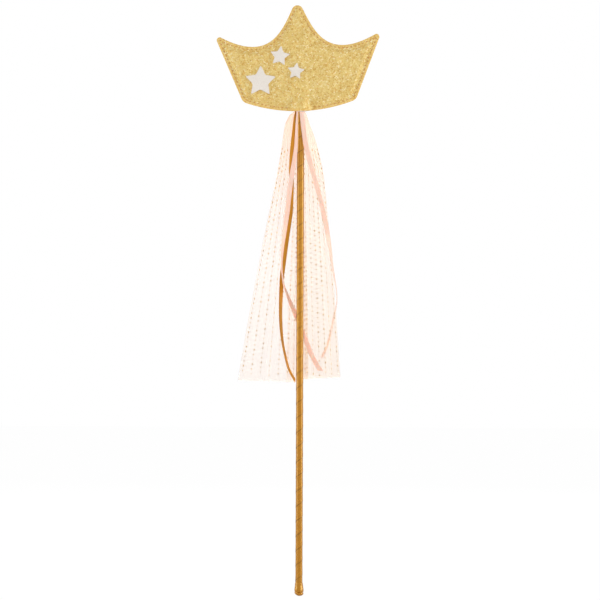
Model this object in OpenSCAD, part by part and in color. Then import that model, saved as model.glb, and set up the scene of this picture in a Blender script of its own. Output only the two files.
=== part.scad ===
// Toy magic wand: a padded fabric crown on a ribbon-wrapped stick, with net and ribbon streamers.
// The stick runs along +Z from the middle of its butt end, and the front of the crown faces -Y.

/* [Stick] */
// Height of the crown's lower edge above the butt end
crown_z = 369.5; // [260:0.5:450]
// Diameter of the wooden dowel
dowel_d = 5; // [4.4:0.1:5.4]
// Length of dowel inside the crown
dowel_insert = 20; // [16:0.5:24]
// Bevel on the dowel's ends
dowel_bevel = 0.4; // [0.2:0.1:0.8]
// Thickness of the satin ribbon on the stick
wrap_t = 0.22; // [0.15:0.01:0.3]
// Rise of the wound ribbon in one turn
wrap_pitch = 11.2; // [9:0.1:14]
// Gap between neighbouring turns, square to the ribbon's edge
wrap_gap = 0.58; // [0.5:0.01:0.8]
// Length of wound stick inside the crown's mouth
wrap_insert = 8; // [7:0.5:10]
// Angle round the stick at which the ribbon starts
wrap_start = 142; // [0:1:359]

/* [Butt end] */
// Diameter of the folded ribbon end
butt_d = 7.1; // [6.8:0.1:8]
// Diameter of the flat face at the very end
butt_face_d = 4.4; // [3.6:0.1:5]
// Diameter where the fold meets the wound stick
butt_neck_d = 6.1; // [5.9:0.1:6.5]
// Height of the rounded lower part
butt_round_h = 2.2; // [1.6:0.1:3]
// Height of the straight wall
butt_wall_h = 2.6; // [2:0.1:3.5]
// Height of the whole fold
butt_h = 9; // [7.5:0.1:12]
// Ribbon thickness under the dowel's end
butt_cap_t = 0.9; // [0.6:0.1:1.5]

/* [Crown outline] */
// Height of the crown from its lower edge to its middle tip
crown_h = 80.6; // [74:0.2:90]
// Lean of the crown to the left on its stick, in degrees
crown_lean = 1.5; // [-3:0.1:3]
// Sideways place of the crown's lower edge on the stick
crown_shift = -0.8; // [-1.5:0.1:1.5]
// Half width of the middle tip where its rounding starts
tip_half_w = 3.85; // [3:0.05:5]
// Angle of the middle tip's flanks from upright
tip_angle = 25.7; // [22:0.1:30]
// How far the scallop follows the middle tip's flank
tip_pull = 20.3; // [16:0.1:24]
// Half distance between the side tips, measured to their sharp corners
side_tip_x = 64.3; // [58:0.1:70]
// Height of the side tips' sharp corners
side_tip_z = 60.5; // [56:0.1:65]
// Slope of the scallop at the side tips, in degrees
side_tip_angle = 31.6; // [26:0.2:36]
// How far the scallop follows that slope
side_pull = 48.5; // [42:0.5:54]
// Length rounded off each side tip
side_tip_round = 6.7; // [5:0.1:8]
// Half width of the crown's lower edge
base_half_w = 43.1; // [38:0.1:48]
// Radius of the crown's lower edge
base_arc_r = 122; // [100:1:160]
// Length rounded off each lower corner
base_corner_round = 3; // [1.5:0.1:5]

/* [Crown layers] */
// Thickness of the glitter fabric
panel_t = 1; // [0.7:0.05:1.4]
// Thickness of the felt filling
padding_t = 2.4; // [1.6:0.1:3.2]
// Distance of the filling from the crown's edge
padding_inset = 7; // [6.8:0.1:9]
// Width of the flat sewn rim
rim_w = 3.4; // [3:0.1:3.6]
// Width over which the panel rises from the rim to the filling
rise_w = 3; // [2:0.1:3]
// Half width of the opening where the stick comes out
mouth_half_w = 9; // [8.5:0.1:11]
// Half width of the ridge that the stick raises in the panels
ridge_half_w = 13; // [12:0.5:16]
// Length over which the ridge fades out above the dowel
ridge_fade = 15; // [12:0.5:18]

/* [Stitching] */
// Distance of the stitches from the crown's edge
stitch_inset = 2.2; // [1.8:0.1:2.5]
// Distance from one stitch to the next
stitch_pitch = 3.1; // [2.6:0.1:4]
// Length of one stitch
stitch_len = 2.1; // [1.5:0.1:2.3]
// Width of the sewing thread
stitch_w = 0.55; // [0.4:0.05:0.7]
// Height of a stitch on the fabric
stitch_h = 0.3; // [0.2:0.05:0.4]

/* [Stars] */
// Thickness of the stars
star_t = 0.8; // [0.5:0.1:1.2]
// Radius of the large star's points
large_star_r = 11.9; // [9:0.1:13]
// Radius of the upper star's points
upper_star_r = 7.7; // [6:0.1:9]
// Radius of the lower star's points
lower_star_r = 6.6; // [5:0.1:8]
// Radius of a star's inner corners, as a share of its points' radius
star_waist_share = 0.5; // [0.42:0.01:0.58]
// Place of the large star across the crown
large_star_x = -29.3; // [-32:0.1:-28]
// Height of the large star above the crown's lower edge
large_star_z = 23.2; // [21:0.1:25]
// Place of the upper star across the crown
upper_star_x = -14.2; // [-16:0.1:-13]
// Height of the upper star above the crown's lower edge
upper_star_z = 42.1; // [41:0.1:44]
// Place of the lower star across the crown
lower_star_x = -2.2; // [-3:0.1:4]
// Height of the lower star above the crown's lower edge
lower_star_z = 30.2; // [28:0.1:31]

/* [Streamers] */
// Width of the narrow satin ribbons
ribbon_w = 3.5; // [3:0.1:3.6]
// Thickness of the narrow satin ribbons
ribbon_t = 0.3; // [0.2:0.05:0.4]
// Thickness of the net
tulle_t = 0.4; // [0.3:0.05:0.5]
// Length of the left net tail
left_tail_len = 204.5; // [150:0.5:220]
// Spread of the left net tail at its hem
left_tail_spread = 44; // [30:0.5:50]
// Length of the right net tail
right_tail_len = 202; // [150:0.5:220]
// Spread of the right net tail at its hem
right_tail_spread = 29.5; // [29:0.5:31]
// Distance of the hanging net behind the stick's middle
tail_back = 10; // [9.8:0.1:10.2]
// Depth of the net's pleats
pleat_depth = 1.3; // [0.8:0.1:1.4]
// Radius of the fold at the net's inner edge
fold_r = 1.1; // [0.8:0.1:1.4]
// Width of the net folded back behind the left tail
left_fold_w = 9; // [6:0.5:12]
// Width of the net folded back behind the right tail
right_fold_w = 5; // [4:0.5:8]
// Wall of the gathered streamer ends round the stick
heads_wall = 1.25; // [1.2:0.05:1.5]
// Height of the gathered streamer ends
heads_h = 6.4; // [5:0.1:8]
// Height of the thread binding
thread_h = 2; // [1:0.1:3]

/* [Hidden] */
$fn = 64;

// Clearances
slip_fit = 0.05;       // between the dowel and what is wound or folded on it
layer_gap = 0.1;       // between the crown's layers
glue_line = 0.2;       // under a star
thread_lift = 0.15;    // under a stitch
swing_gap = 0.3;       // between a streamer and what it swings past
slot_margin = 1;       // above the dowel and the streamer tops in the crown
overrun = 1;           // by which a cut passes the face that it opens

// Colours
wood_colour = [0.82, 0.69, 0.47];
satin_gold = [0.78, 0.56, 0.22];
glitter_gold = [0.88, 0.78, 0.49];
felt_white = [0.93, 0.91, 0.86];
thread_gold = [0.72, 0.5, 0.2];
star_cream = [0.91, 0.88, 0.84];
glue_amber = [0.93, 0.87, 0.68];
satin_pink = [0.99, 0.82, 0.75];
net_pink = [0.98, 0.93, 0.89];

// General functions
function mix(a, b, t) = a + (b - a) * t;
function clamp(a, low, high) = max(low, min(high, a));
function smooth(t) = let(c = clamp(t, 0, 1)) c * c * (3 - 2 * c);
function unit(v) = v / norm(v);
function bezier2(a, b, c, t) = mix(mix(a, b, t), mix(b, c, t), t);
function bezier3(a, b, c, d, t) = mix(bezier2(a, b, c, t), bezier2(b, c, d, t), t);
function mirrored(p, s) = s < 0 ? [-p[0], p[1]] : p;
function flat(rows) = [for (row = rows) for (p = row) p];
function total(list, i = 0) = i < len(list) ? list[i] + total(list, i + 1) : 0;

// Triangles of a tube of rings that are listed anticlockwise as seen along its run
function tube_faces(rings, sides) = concat(
    [for (i = [1:sides - 2]) [0, i + 1, i]],
    [for (k = [0:rings - 2], j = [0:sides - 1], half = [0, 1])
        let(a = k * sides + j, b = k * sides + (j + 1) % sides)
        half == 0 ? [a, b, b + sides] : [a, b + sides, a + sides]],
    [for (i = [1:sides - 2]) let(last = (rings - 1) * sides) [last, last + i, last + i + 1]]);

// A sheet with a thickness: two grids of points with rows that go up and columns that go right
module sheet(front, back) {
    rows = len(front) - 1;
    cols = len(front[0]) - 1;
    step = cols + 1;
    far = (rows + 1) * step;
    top = rows * step;
    cells = [for (i = [0:rows - 1], j = [0:cols - 1]) i * step + j];
    polyhedron(
        concat(flat(front), flat(back)),
        concat(
            [for (a = cells) [a, a + step, a + step + 1]],
            [for (a = cells) [a, a + step + 1, a + 1]],
            [for (a = cells) [far + a, far + a + step + 1, far + a + step]],
            [for (a = cells) [far + a, far + a + 1, far + a + step + 1]],
            [for (j = [0:cols - 1]) each [[j, j + 1, far + j + 1], [j, far + j + 1, far + j]]],
            [for (j = [top:top + cols - 1]) each [[j + 1, j, far + j], [j + 1, far + j, far + j + 1]]],
            [for (i = [0:rows - 1]) let(a = i * step, b = a + step)
                each [[b, a, far + a], [b, far + a, far + b]]],
            [for (i = [0:rows - 1]) let(a = i * step + cols, b = a + step)
                each [[a, b, far + b], [a, far + b, far + a]]]));
}

// Stick
dowel_r = dowel_d / 2;
dowel_top = crown_z + dowel_insert;
wrap_rings_per_turn = 12;
wrap_in_r = (dowel_r + slip_fit) / cos(180 / wrap_rings_per_turn);
wrap_out_r = wrap_in_r + wrap_t;
wrap_angle = atan(wrap_pitch / (2 * PI * wrap_out_r));
wrap_gap_up = wrap_gap / cos(wrap_angle);
wrap_band = wrap_pitch - wrap_gap_up;
wrap_bottom = butt_h + slip_fit;
wrap_top = crown_z + wrap_insert;
wrap_rise = wrap_pitch / wrap_rings_per_turn;
wrap_first_z = wrap_bottom - wrap_band + wrap_rise;
wrap_rings = floor((wrap_top - wrap_first_z) / wrap_rise);

module dowel() {
    color(wood_colour) rotate_extrude() polygon([
        [0, butt_cap_t + slip_fit],
        [dowel_r - dowel_bevel, butt_cap_t + slip_fit],
        [dowel_r, butt_cap_t + slip_fit + dowel_bevel],
        [dowel_r, dowel_top - dowel_bevel],
        [dowel_r - dowel_bevel, dowel_top],
        [0, dowel_top]]);
}

// One section of the wound ribbon, cut off square at both ends of the wound length
function wrap_ring(k) =
    let(a = wrap_start + 360 * k / wrap_rings_per_turn,
        z = wrap_first_z + wrap_rise * k,
        low = clamp(z, wrap_bottom, wrap_top),
        high = clamp(z + wrap_band, wrap_bottom, wrap_top))
    [for (q = [[wrap_in_r, low], [wrap_out_r, low], [wrap_out_r, high], [wrap_in_r, high]])
        [q[0] * cos(a), q[0] * sin(a), q[1]]];

// Least distance from a turn's upper edge to points of the next turn's lower edge
wrap_least_gap = min([for (turn = [-60:2:60])
    norm([2 * wrap_out_r * sin(turn / 2), wrap_gap_up + wrap_pitch * turn / 360])]);
echo(str("least gap between the turns of the wound ribbon: ", wrap_least_gap, " mm"));

module stick_wrap() {
    color(satin_gold) polyhedron(
        flat([for (k = [0:wrap_rings - 1]) wrap_ring(k)]),
        tube_faces(wrap_rings, 4));
}

butt_r = butt_d / 2;
butt_face_r = butt_face_d / 2;
butt_neck_r = butt_neck_d / 2;
butt_round_steps = 6;

module butt_fold() {
    rounding = [for (i = [0:butt_round_steps]) let(a = 90 * i / butt_round_steps)
        [mix(butt_face_r, butt_r, sin(a)), butt_round_h * (1 - cos(a))]];
    color(satin_gold) rotate_extrude() polygon(concat(
        [[0, 0]],
        rounding,
        [[butt_r, butt_round_h + butt_wall_h],
         [butt_neck_r, butt_h],
         [dowel_r + slip_fit, butt_h],
         [dowel_r + slip_fit, butt_cap_t],
         [0, butt_cap_t]]));
}

// Crown outline, in the crown's own frame: x to the right and y up from the middle of its lower edge
base_corner = [base_half_w, base_arc_r - sqrt(pow(base_arc_r, 2) - pow(base_half_w, 2))];
side_corner = [side_tip_x, side_tip_z];
side_up = unit(side_corner - base_corner);
base_arc_end = asin(base_half_w / base_arc_r) - base_corner_round / base_arc_r * 180 / PI;
// Shares of the way to its sharp corner at which a rounding's handles lie: the middle tip is blunt
tip_round_share = 0.4;
side_round_share = 0.32;
tip_rise = tip_half_w / tan(tip_angle);
tip_start = [tip_half_w, crown_h - 3 / 4 * tip_round_share * tip_rise];
tip_sharp = tip_start + [-tip_half_w, tip_rise];
tip_handle = tip_start + tip_pull * [sin(tip_angle), -cos(tip_angle)];
side_handle = side_corner - side_pull * [cos(side_tip_angle), sin(side_tip_angle)];
scallop_end_share = 1 - side_tip_round / (3 * side_pull);
// Shares of the half outline at which its roundings start
tip_end_share = 0.12;
side_end_share = 0.94;
base_end_share = 0.94;

function scallop(t) = bezier3(tip_start, tip_handle, side_handle, side_corner, t * scallop_end_share);
function base_arc(t) = base_arc_r * [sin(base_arc_end * t), 1 - cos(base_arc_end * t)];
function rounded(a, corner, b, share, t) = bezier3(a, mix(a, corner, share), mix(b, corner, share), b, t);
function upper_edge(s) = let(a = abs(s)) mirrored(
    a < tip_end_share
        ? rounded([-tip_start[0], tip_start[1]], tip_sharp, tip_start, tip_round_share, (1 + a / tip_end_share) / 2)
        : a < side_end_share
        ? scallop((a - tip_end_share) / (side_end_share - tip_end_share))
        : rounded(scallop(1), side_corner, side_corner - side_tip_round * side_up, side_round_share,
                  (a - side_end_share) / (1 - side_end_share)), s);
function lower_edge(s) = let(a = abs(s)) mirrored(
    a < base_end_share
        ? base_arc(a / base_end_share)
        : bezier2(base_arc(1), base_corner, base_corner + base_corner_round * side_up,
                  (a - base_end_share) / (1 - base_end_share)), s);

outline_steps = 50;
side_steps = 16;
outline = concat(
    [for (i = [-outline_steps:outline_steps]) lower_edge(i / outline_steps)],
    [for (i = [1:side_steps - 1]) mix(lower_edge(1), upper_edge(1), i / side_steps)],
    [for (i = [-outline_steps:outline_steps]) upper_edge(-i / outline_steps)],
    [for (i = [1:side_steps - 1]) mix(upper_edge(-1), lower_edge(-1), i / side_steps)]);
outline_next = [for (i = [1:len(outline)]) outline[i % len(outline)]];

function from_segment(p, a, b) =
    let(ab = b - a, t = clamp((p - a) * ab / (ab * ab), 0, 1)) norm(p - a - t * ab);
function from_edge(p) = min([for (i = [0:len(outline) - 1]) from_segment(p, outline[i], outline_next[i])]);

module in_crown() {
    translate([crown_shift, 0, crown_z]) rotate([0, -crown_lean, 0]) children();
}

// Crown layers
heads_in_r = wrap_out_r + layer_gap;
heads_r = heads_in_r + heads_wall;
heads_waist_r = heads_in_r + heads_wall / 2;
heads_drop = 0.4;
heads_bottom = crown_z - heads_drop;
hang_z = heads_bottom - swing_gap;
padding_half = padding_t / 2;
rim_half_gap = layer_gap / 2;
plateau = padding_half + layer_gap;
mouth_half_h = heads_r + swing_gap;
ridge_half_h = wrap_out_r + swing_gap;
slot_half_w = heads_r + swing_gap + layer_gap;
slot_top = dowel_insert + slot_margin;
mouth_depth = heads_h + slot_margin;

function stick_x(v) = -crown_shift + v * tan(crown_lean);
function ridge(u, v) =
    let(up = smooth((v - mouth_depth) / (wrap_insert - mouth_depth + rise_w)),
        height = mix(mouth_half_h, ridge_half_h, up) * smooth((slot_top + ridge_fade - v) / ridge_fade),
        width = mix(mouth_half_w, ridge_half_w, smooth(v / slot_top)),
        across = clamp(abs(u - stick_x(v)) / width, 0, 1))
    height * (1 + cos(180 * across)) / 2;
function filling(p) = plateau * smooth((from_edge(p) - rim_w) / rise_w);
// Height of a panel's inner face over the crown's middle plane
function inner_h(p) = rim_half_gap + max(filling(p), ridge(p[0], p[1]));

panel_cols = 44;
panel_rows = 20;
edge_pack_share = 0.7;
row_pack_share = 0.5;
function packed(q, pack) = mix(q, sin(90 * q), pack);
panel_s = [for (i = [0:panel_cols]) packed(2 * i / panel_cols - 1, edge_pack_share)];
panel_t_share = [for (i = [0:panel_rows]) (packed(2 * i / panel_rows - 1, row_pack_share) + 1) / 2];

module crown_panel() {
    grid = [for (t = panel_t_share) [for (s = panel_s) mix(lower_edge(s), upper_edge(s), t)]];
    heights = [for (row = grid) [for (p = row) inner_h(p)]];
    function lifted(extra) = [for (i = [0:panel_rows]) [for (j = [0:panel_cols])
        [grid[i][j][0], -heights[i][j] - extra, grid[i][j][1]]]];
    sheet(lifted(panel_t), lifted(0));
}

module crown_front_panel() {
    color(glitter_gold) in_crown() crown_panel();
}

module crown_back_panel() {
    color(glitter_gold) in_crown() mirror([0, 1, 0]) crown_panel();
}

module crown_padding() {
    color(felt_white) in_crown() rotate([90, 0, 0]) linear_extrude(padding_t, center = true) difference() {
        offset(delta = -padding_inset) polygon(outline);
        translate([stick_x(0) - slot_half_w, -overrun]) square([2 * slot_half_w, slot_top + overrun]);
    }
}

glue_half_w = slot_half_w - 2 * swing_gap;
glue_h = dowel_insert - wrap_insert - 2 * dowel_bevel;

module crown_glue() {
    color(glue_amber) translate([0, 0, dowel_top - dowel_bevel - glue_h]) difference() {
        translate([-glue_half_w, -padding_half, 0]) cube([2 * glue_half_w, padding_t, glue_h]);
        translate([0, 0, -overrun]) cylinder(r = dowel_r + slip_fit, h = glue_h + 2 * overrun);
    }
}

// Stitching: dashes at even steps along a seam line, which is the outline moved in from the edge
seam_keep_share = 0.97;
seam = [for (i = [0:len(outline) - 1])
    let(dir = unit(outline_next[i] - outline[i]), p = outline[i] + stitch_inset * [-dir[1], dir[0]])
    if (from_edge(p) > stitch_inset * seam_keep_share) p];
seam_next = [for (i = [1:len(seam)]) seam[i % len(seam)]];
seam_len = [for (i = [0:len(seam) - 1]) norm(seam_next[i] - seam[i])];
seam_along = [for (i = 0, at = 0; i < len(seam); at = at + seam_len[i], i = i + 1) at];
stitch_count = floor(total(seam_len) / stitch_pitch);
stitch_step = total(seam_len) / stitch_count;
mouth_clear = mouth_half_w + stitch_pitch / 2;

function stitch_place(k) =
    let(at = stitch_step * k,
        i = max([for (n = [0:len(seam) - 1]) if (seam_along[n] <= at) n]),
        dir = unit(seam_next[i] - seam[i]))
    [seam[i] + dir * (at - seam_along[i]), atan2(dir[1], dir[0])];
stitches = [for (k = [0:stitch_count - 1]) let(place = stitch_place(k), p = place[0])
    if (p[1] > mouth_depth || abs(p[0] - stick_x(0)) > mouth_clear) place];

module stitch_row() {
    y = rim_half_gap + panel_t + thread_lift;
    for (place = stitches)
        translate([place[0][0], 0, place[0][1]]) rotate([0, -place[1], 0])
            translate([-stitch_len / 2, -y - stitch_h, -stitch_w / 2]) cube([stitch_len, stitch_h, stitch_w]);
}

module top_stitching() {
    color(thread_gold) in_crown() stitch_row();
}

module bobbin_stitching() {
    color(thread_gold) in_crown() mirror([0, 1, 0]) stitch_row();
}

// Stars: rings of the star's outline, from its middle outwards, laid on the front panel
star_rings = 4;
star_sides = 20;
large_star_turn = -2;
upper_star_turn = -9;
lower_star_turn = -8;

function star_corner(i, r) =
    let(a = 90 - 36 * i) (i % 2 == 0 ? r : r * star_waist_share) * [cos(a), sin(a)];
function star_outline(r, turn) = [for (k = [0:star_sides - 1])
    let(i = floor(k / 2),
        p = k % 2 == 0 ? star_corner(i, r) : mix(star_corner(i, r), star_corner(i + 1, r), 1 / 2))
    [p[0] * cos(turn) - p[1] * sin(turn), p[0] * sin(turn) + p[1] * cos(turn)]];

module star(place, r, turn) {
    edge = star_outline(r, turn);
    plan = concat([place], [for (n = [1:star_rings], p = edge) place + p * n / star_rings]);
    base = [for (p = plan) -inner_h(p) - panel_t - glue_line];
    count = len(plan);
    rim = count - star_sides;
    ring_cells = [for (n = [0:star_rings - 2], k = [0:star_sides - 1])
        let(a = 1 + n * star_sides + k, b = 1 + n * star_sides + (k + 1) % star_sides)
        [a, b, b + star_sides, a + star_sides]];
    top = concat(
        [for (k = [0:star_sides - 1]) [0, 1 + k, 1 + (k + 1) % star_sides]],
        [for (c = ring_cells) each [[c[0], c[3], c[2]], [c[0], c[2], c[1]]]]);
    color(star_cream) in_crown() polyhedron(
        concat([for (i = [0:count - 1]) [plan[i][0], base[i] - star_t, plan[i][1]]],
               [for (i = [0:count - 1]) [plan[i][0], base[i], plan[i][1]]]),
        concat(top,
               [for (f = top) [f[0] + count, f[2] + count, f[1] + count]],
               [for (k = [0:star_sides - 1]) let(a = rim + k, b = rim + (k + 1) % star_sides)
                   each [[a, a + count, b + count], [a, b + count, b]]]));
}

module large_star() {
    star([large_star_x, large_star_z], large_star_r, large_star_turn);
}

module upper_star() {
    star([upper_star_x, upper_star_z], upper_star_r, upper_star_turn);
}

module lower_star() {
    star([lower_star_x, lower_star_z], lower_star_r, lower_star_turn);
}

// Streamer tops, bound to the stick in the crown's mouth
thread_low = heads_bottom + (heads_h - thread_h) / 2;
thread_r = heads_r - layer_gap;
waist_slope = heads_wall / 2;

module streamer_heads() {
    top = heads_bottom + heads_h;
    waist_low = thread_low - layer_gap;
    waist_high = thread_low + thread_h + layer_gap;
    color(net_pink) rotate_extrude() polygon([
        [heads_in_r, heads_bottom],
        [heads_r, heads_bottom],
        [heads_r, waist_low - waist_slope],
        [heads_waist_r, waist_low],
        [heads_waist_r, waist_high],
        [heads_r, waist_high + waist_slope],
        [heads_r, top],
        [heads_in_r, top]]);
}

module tie_thread() {
    round_r = (thread_r - heads_waist_r - layer_gap) / 2;
    middle_r = heads_waist_r + layer_gap + round_r;
    color(felt_white) rotate_extrude() {
        translate([middle_r - round_r, thread_low]) square([round_r, thread_h]);
        translate([middle_r, thread_low + round_r]) circle(round_r);
        translate([middle_r, thread_low + thread_h - round_r]) circle(round_r);
        translate([middle_r, thread_low + round_r]) square([round_r, thread_h - 2 * round_r]);
    }
}

// Net tails: each hangs from a narrow neck, flares, pleats and folds back at its inner edge
tail_rows = 15;
front_cols = 17;
turn_cols = 4;
back_cols = 5;
tail_neck_half_w = 2;
tail_neck_len = 3;
tail_gap = 0.4;
neck_fold_r = 0.5;
neck_fold_w = 1.2;
left_flare_share = 0.57;
right_flare_share = 0.46;
tail_sink_share = 0.45;
pleat_fade_share = 0.25;
row_power = 1.5;        // packs the rows towards the neck
left_pleats = 3;
right_pleats = 2;
neck_y = wrap_out_r + swing_gap + tulle_t / 2;

function tail_section(drop, length, spread, flare, fold_w, pleats) =
    let(down = drop / length,
        outer = -tail_neck_half_w
            - spread * pow(max(0, drop - tail_neck_len) / (length - tail_neck_len), flare),
        r = mix(neck_fold_r, fold_r, smooth(down)),
        y = mix(neck_y, tail_back, smooth(down / tail_sink_share)),
        inner = -tail_gap - r,
        depth = pleat_depth * smooth(down / tail_sink_share),
        back_w = mix(neck_fold_w, fold_w, smooth(down)))
    concat(
        [for (i = [0:front_cols]) let(q = i / front_cols)
            [mix(outer, inner, q), y + depth * smooth((1 - q) / pleat_fade_share) * sin(360 * pleats * q)]],
        [for (i = [1:turn_cols]) let(a = 180 * i / turn_cols - 90)
            [inner + r * cos(a), y + r + r * sin(a)]],
        [for (i = [1:back_cols]) [inner - back_w * i / back_cols, y + 2 * r]]);

module tulle_tail(length, spread, flare, fold_w, pleats) {
    drops = [for (i = [tail_rows:-1:0]) length * pow(i / tail_rows, row_power)];
    sections = [for (d = drops) tail_section(d, length, spread, flare, fold_w, pleats)];
    last = len(sections[0]) - 1;
    function side(offset) = [for (i = [0:tail_rows]) [for (j = [0:last])
        let(s = sections[i],
            run = unit(s[min(j + 1, last)] - s[max(j - 1, 0)]),
            p = s[j] + offset * [run[1], -run[0]])
        [p[0], p[1], hang_z - drops[i]]]];
    sheet(side(tulle_t / 2), side(-tulle_t / 2));
}

module left_tulle() {
    color(net_pink) tulle_tail(left_tail_len, left_tail_spread, left_flare_share, left_fold_w, left_pleats);
}

module right_tulle() {
    color(net_pink) mirror([1, 0, 0])
        tulle_tail(right_tail_len, right_tail_spread, right_flare_share, right_fold_w, right_pleats);
}

// Narrow ribbons. A route's point is its place across and behind the stick, its drop below the tie
// and the ribbon's turn from facing the front, in degrees.
pink_left_route = [
    [-2.6, -3.4, 0, 0], [-3, -3.5, 13, 0], [-3.5, -3.5, 26, 0], [-4.9, -3.5, 38, 0], [-6.9, -3.3, 50, 0],
    [-8.5, -3, 63, 0], [-9.9, -2.7, 76, 10], [-11.6, -2.3, 89, 30], [-13.1, -1.8, 101, 50],
    [-14, -1.1, 114, 70], [-13.6, -0.2, 124, 75], [-12, 1, 133, 68], [-9.4, 2.2, 140, 54], [-7, 3, 146, 36],
    [-4.4, 3.5, 152, 16], [-0.1, 3.8, 162.3, 4], [3.5, 3.9, 171.2, 0], [5.8, 3.9, 177, 0], [8.1, 3.9, 183, 0],
    [11.7, 3.9, 190.2, 0], [16, 3.9, 197.3, 0]];
gold_route = [
    [-3.8, -1.6, 0, 60], [-4.6, -1.6, 6, 35], [-5.7, -1.4, 19, 10], [-6.6, -1.1, 31, 0], [-7, -0.8, 44, 0],
    [-6.8, -0.5, 54, 0], [-6.9, -0.2, 63, 0], [-7.4, 0.3, 76, 10], [-9, 0.9, 88, 15], [-10.8, 1.8, 101, 20],
    [-12.4, 3, 114, 20], [-13.7, 4.2, 124, 22], [-14.2, 5, 132, 28], [-14.5, 5.6, 139, 36], [-14.8, 6.2, 152, 44],
    [-14.3, 6.2, 165, 50], [-12.9, 6.2, 177, 60], [-10.3, 6.2, 189, 60], [-8, 6.2, 196.6, 60], [-3.4, 6.2, 205, 60]];
pink_right_route = [
    [0.9, -3.4, 0, 0], [2.1, -3.4, 12, 0], [4.2, -3.2, 26, 0], [8.1, -2.6, 41, 0], [12.3, -1.6, 56, 0],
    [16.1, -0.4, 70, 0], [18.8, 0.8, 82, 6], [21.2, 2.2, 94, 28], [23.1, 3.8, 105, 52], [24.6, 5.6, 116, 66],
    [26.2, 7.6, 126, 74], [27.9, 9.6, 136, 78], [28.1, 12.6, 146, 80], [26, 13.5, 156, 74],
    [23.9, 13.5, 167, 68], [20.9, 13.5, 178, 66], [17, 13.5, 187, 66]];
ribbon_sides = 8;
full_neck_share = 1;
pink_neck_share = 0.35;
gold_neck_share = 0.6;
ribbon_neck_len = 45;

// A flattened ring of the ribbon at one point of its route
function ribbon_ring(route, k, neck) =
    let(at = function(i) let(p = route[clamp(i, 0, len(route) - 1)]) [p[0], p[1], hang_z - p[2]],
        run = unit(at(k + 1) - at(k - 1)),
        front = unit([0, -1, 0] + run[1] * run),
        across = cross(run, front),
        turn = route[k][3],
        wide = across * cos(turn) + front * sin(turn),
        thick = front * cos(turn) - across * sin(turn),
        half_w = ribbon_w / 2 * mix(neck, 1, smooth(route[k][2] / ribbon_neck_len)))
    [for (j = [0:ribbon_sides - 1]) let(a = 360 * (j + 0.5) / ribbon_sides, c = cos(180 / ribbon_sides))
        at(k) + wide * half_w * cos(a) / c + thick * ribbon_t / 2 * sin(a) / c];

module ribbon(route, neck) {
    polyhedron(
        flat([for (k = [0:len(route) - 1]) ribbon_ring(route, k, neck)]),
        tube_faces(len(route), ribbon_sides));
}

module pink_ribbon_left() {
    color(satin_pink) ribbon(pink_left_route, pink_neck_share);
}

module gold_ribbon() {
    color(satin_gold) ribbon(gold_route, gold_neck_share);
}

module pink_ribbon_right() {
    color(satin_pink) ribbon(pink_right_route, full_neck_share);
}

dowel();
stick_wrap();
butt_fold();
crown_front_panel();
crown_back_panel();
crown_padding();
crown_glue();
top_stitching();
bobbin_stitching();
large_star();
upper_star();
lower_star();
streamer_heads();
tie_thread();
left_tulle();
right_tulle();
pink_ribbon_left();
gold_ribbon();
pink_ribbon_right();
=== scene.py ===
# %% [markdown]
# # A dress-up wand
# The wand is a wooden stick wound with satin ribbon, with a flat padded crown of glitter fabric
# on top and streamers of net and narrow ribbon that hang from under the crown. Each piece below
# is a surface worked out with numpy in millimetres, and becomes metres when it enters its mesh.

import bpy
import numpy as np
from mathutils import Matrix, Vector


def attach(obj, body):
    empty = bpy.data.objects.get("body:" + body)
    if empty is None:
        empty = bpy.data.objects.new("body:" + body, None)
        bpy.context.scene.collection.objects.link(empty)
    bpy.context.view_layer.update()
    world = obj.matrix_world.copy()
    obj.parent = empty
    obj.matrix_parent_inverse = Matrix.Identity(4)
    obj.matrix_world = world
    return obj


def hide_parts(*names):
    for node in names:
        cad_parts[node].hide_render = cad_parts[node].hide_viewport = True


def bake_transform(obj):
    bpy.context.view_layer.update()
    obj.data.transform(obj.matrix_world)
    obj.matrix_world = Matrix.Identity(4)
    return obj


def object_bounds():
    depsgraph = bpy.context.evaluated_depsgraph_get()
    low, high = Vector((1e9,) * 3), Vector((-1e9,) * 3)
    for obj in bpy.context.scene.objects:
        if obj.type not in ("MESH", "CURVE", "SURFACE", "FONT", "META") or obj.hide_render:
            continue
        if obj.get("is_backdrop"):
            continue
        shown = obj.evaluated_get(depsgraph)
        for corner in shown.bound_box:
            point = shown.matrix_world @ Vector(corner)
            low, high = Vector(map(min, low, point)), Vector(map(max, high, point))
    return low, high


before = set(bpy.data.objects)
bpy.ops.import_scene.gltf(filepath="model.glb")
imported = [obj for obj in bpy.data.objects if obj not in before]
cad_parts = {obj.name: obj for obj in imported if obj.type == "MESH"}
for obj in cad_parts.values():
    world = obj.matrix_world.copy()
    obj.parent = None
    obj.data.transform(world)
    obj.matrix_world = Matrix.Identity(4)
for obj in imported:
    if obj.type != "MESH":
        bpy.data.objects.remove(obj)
cad_box = [[float(x) for x in corner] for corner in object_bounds()]
MM = 0.001

# %% [markdown]
# A grid of points is the simplest way to make a soft surface: two parameters go in and a place
# comes out. These helpers turn grids into closed meshes, so that each piece only has to say its
# formula. A UV map in millimetres goes along, because weave and print follow the cloth.

# %% Surfaces from grids


def smooth(t):
    """The step 3t^2 - 2t^3, held at 0 below 0 and at 1 above 1."""
    t = np.clip(t, 0, 1)
    return t * t * (3 - 2 * t)


def mix(a, b, t):
    """A straight line from a at t = 0 to b at t = 1."""
    return a + (b - a) * t


def bell(t, middle, width):
    """A hump of height 1: exp(-((t - middle) / width)^2)."""
    return np.exp(-(((t - middle) / width) ** 2))


def cycles(t):
    """A sine that goes through one whole wave each time t grows by 1."""
    return np.sin(2 * np.pi * t)


def unit(v):
    """Vectors over their own lengths."""
    return v / np.linalg.norm(v, axis=-1, keepdims=True)


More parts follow.
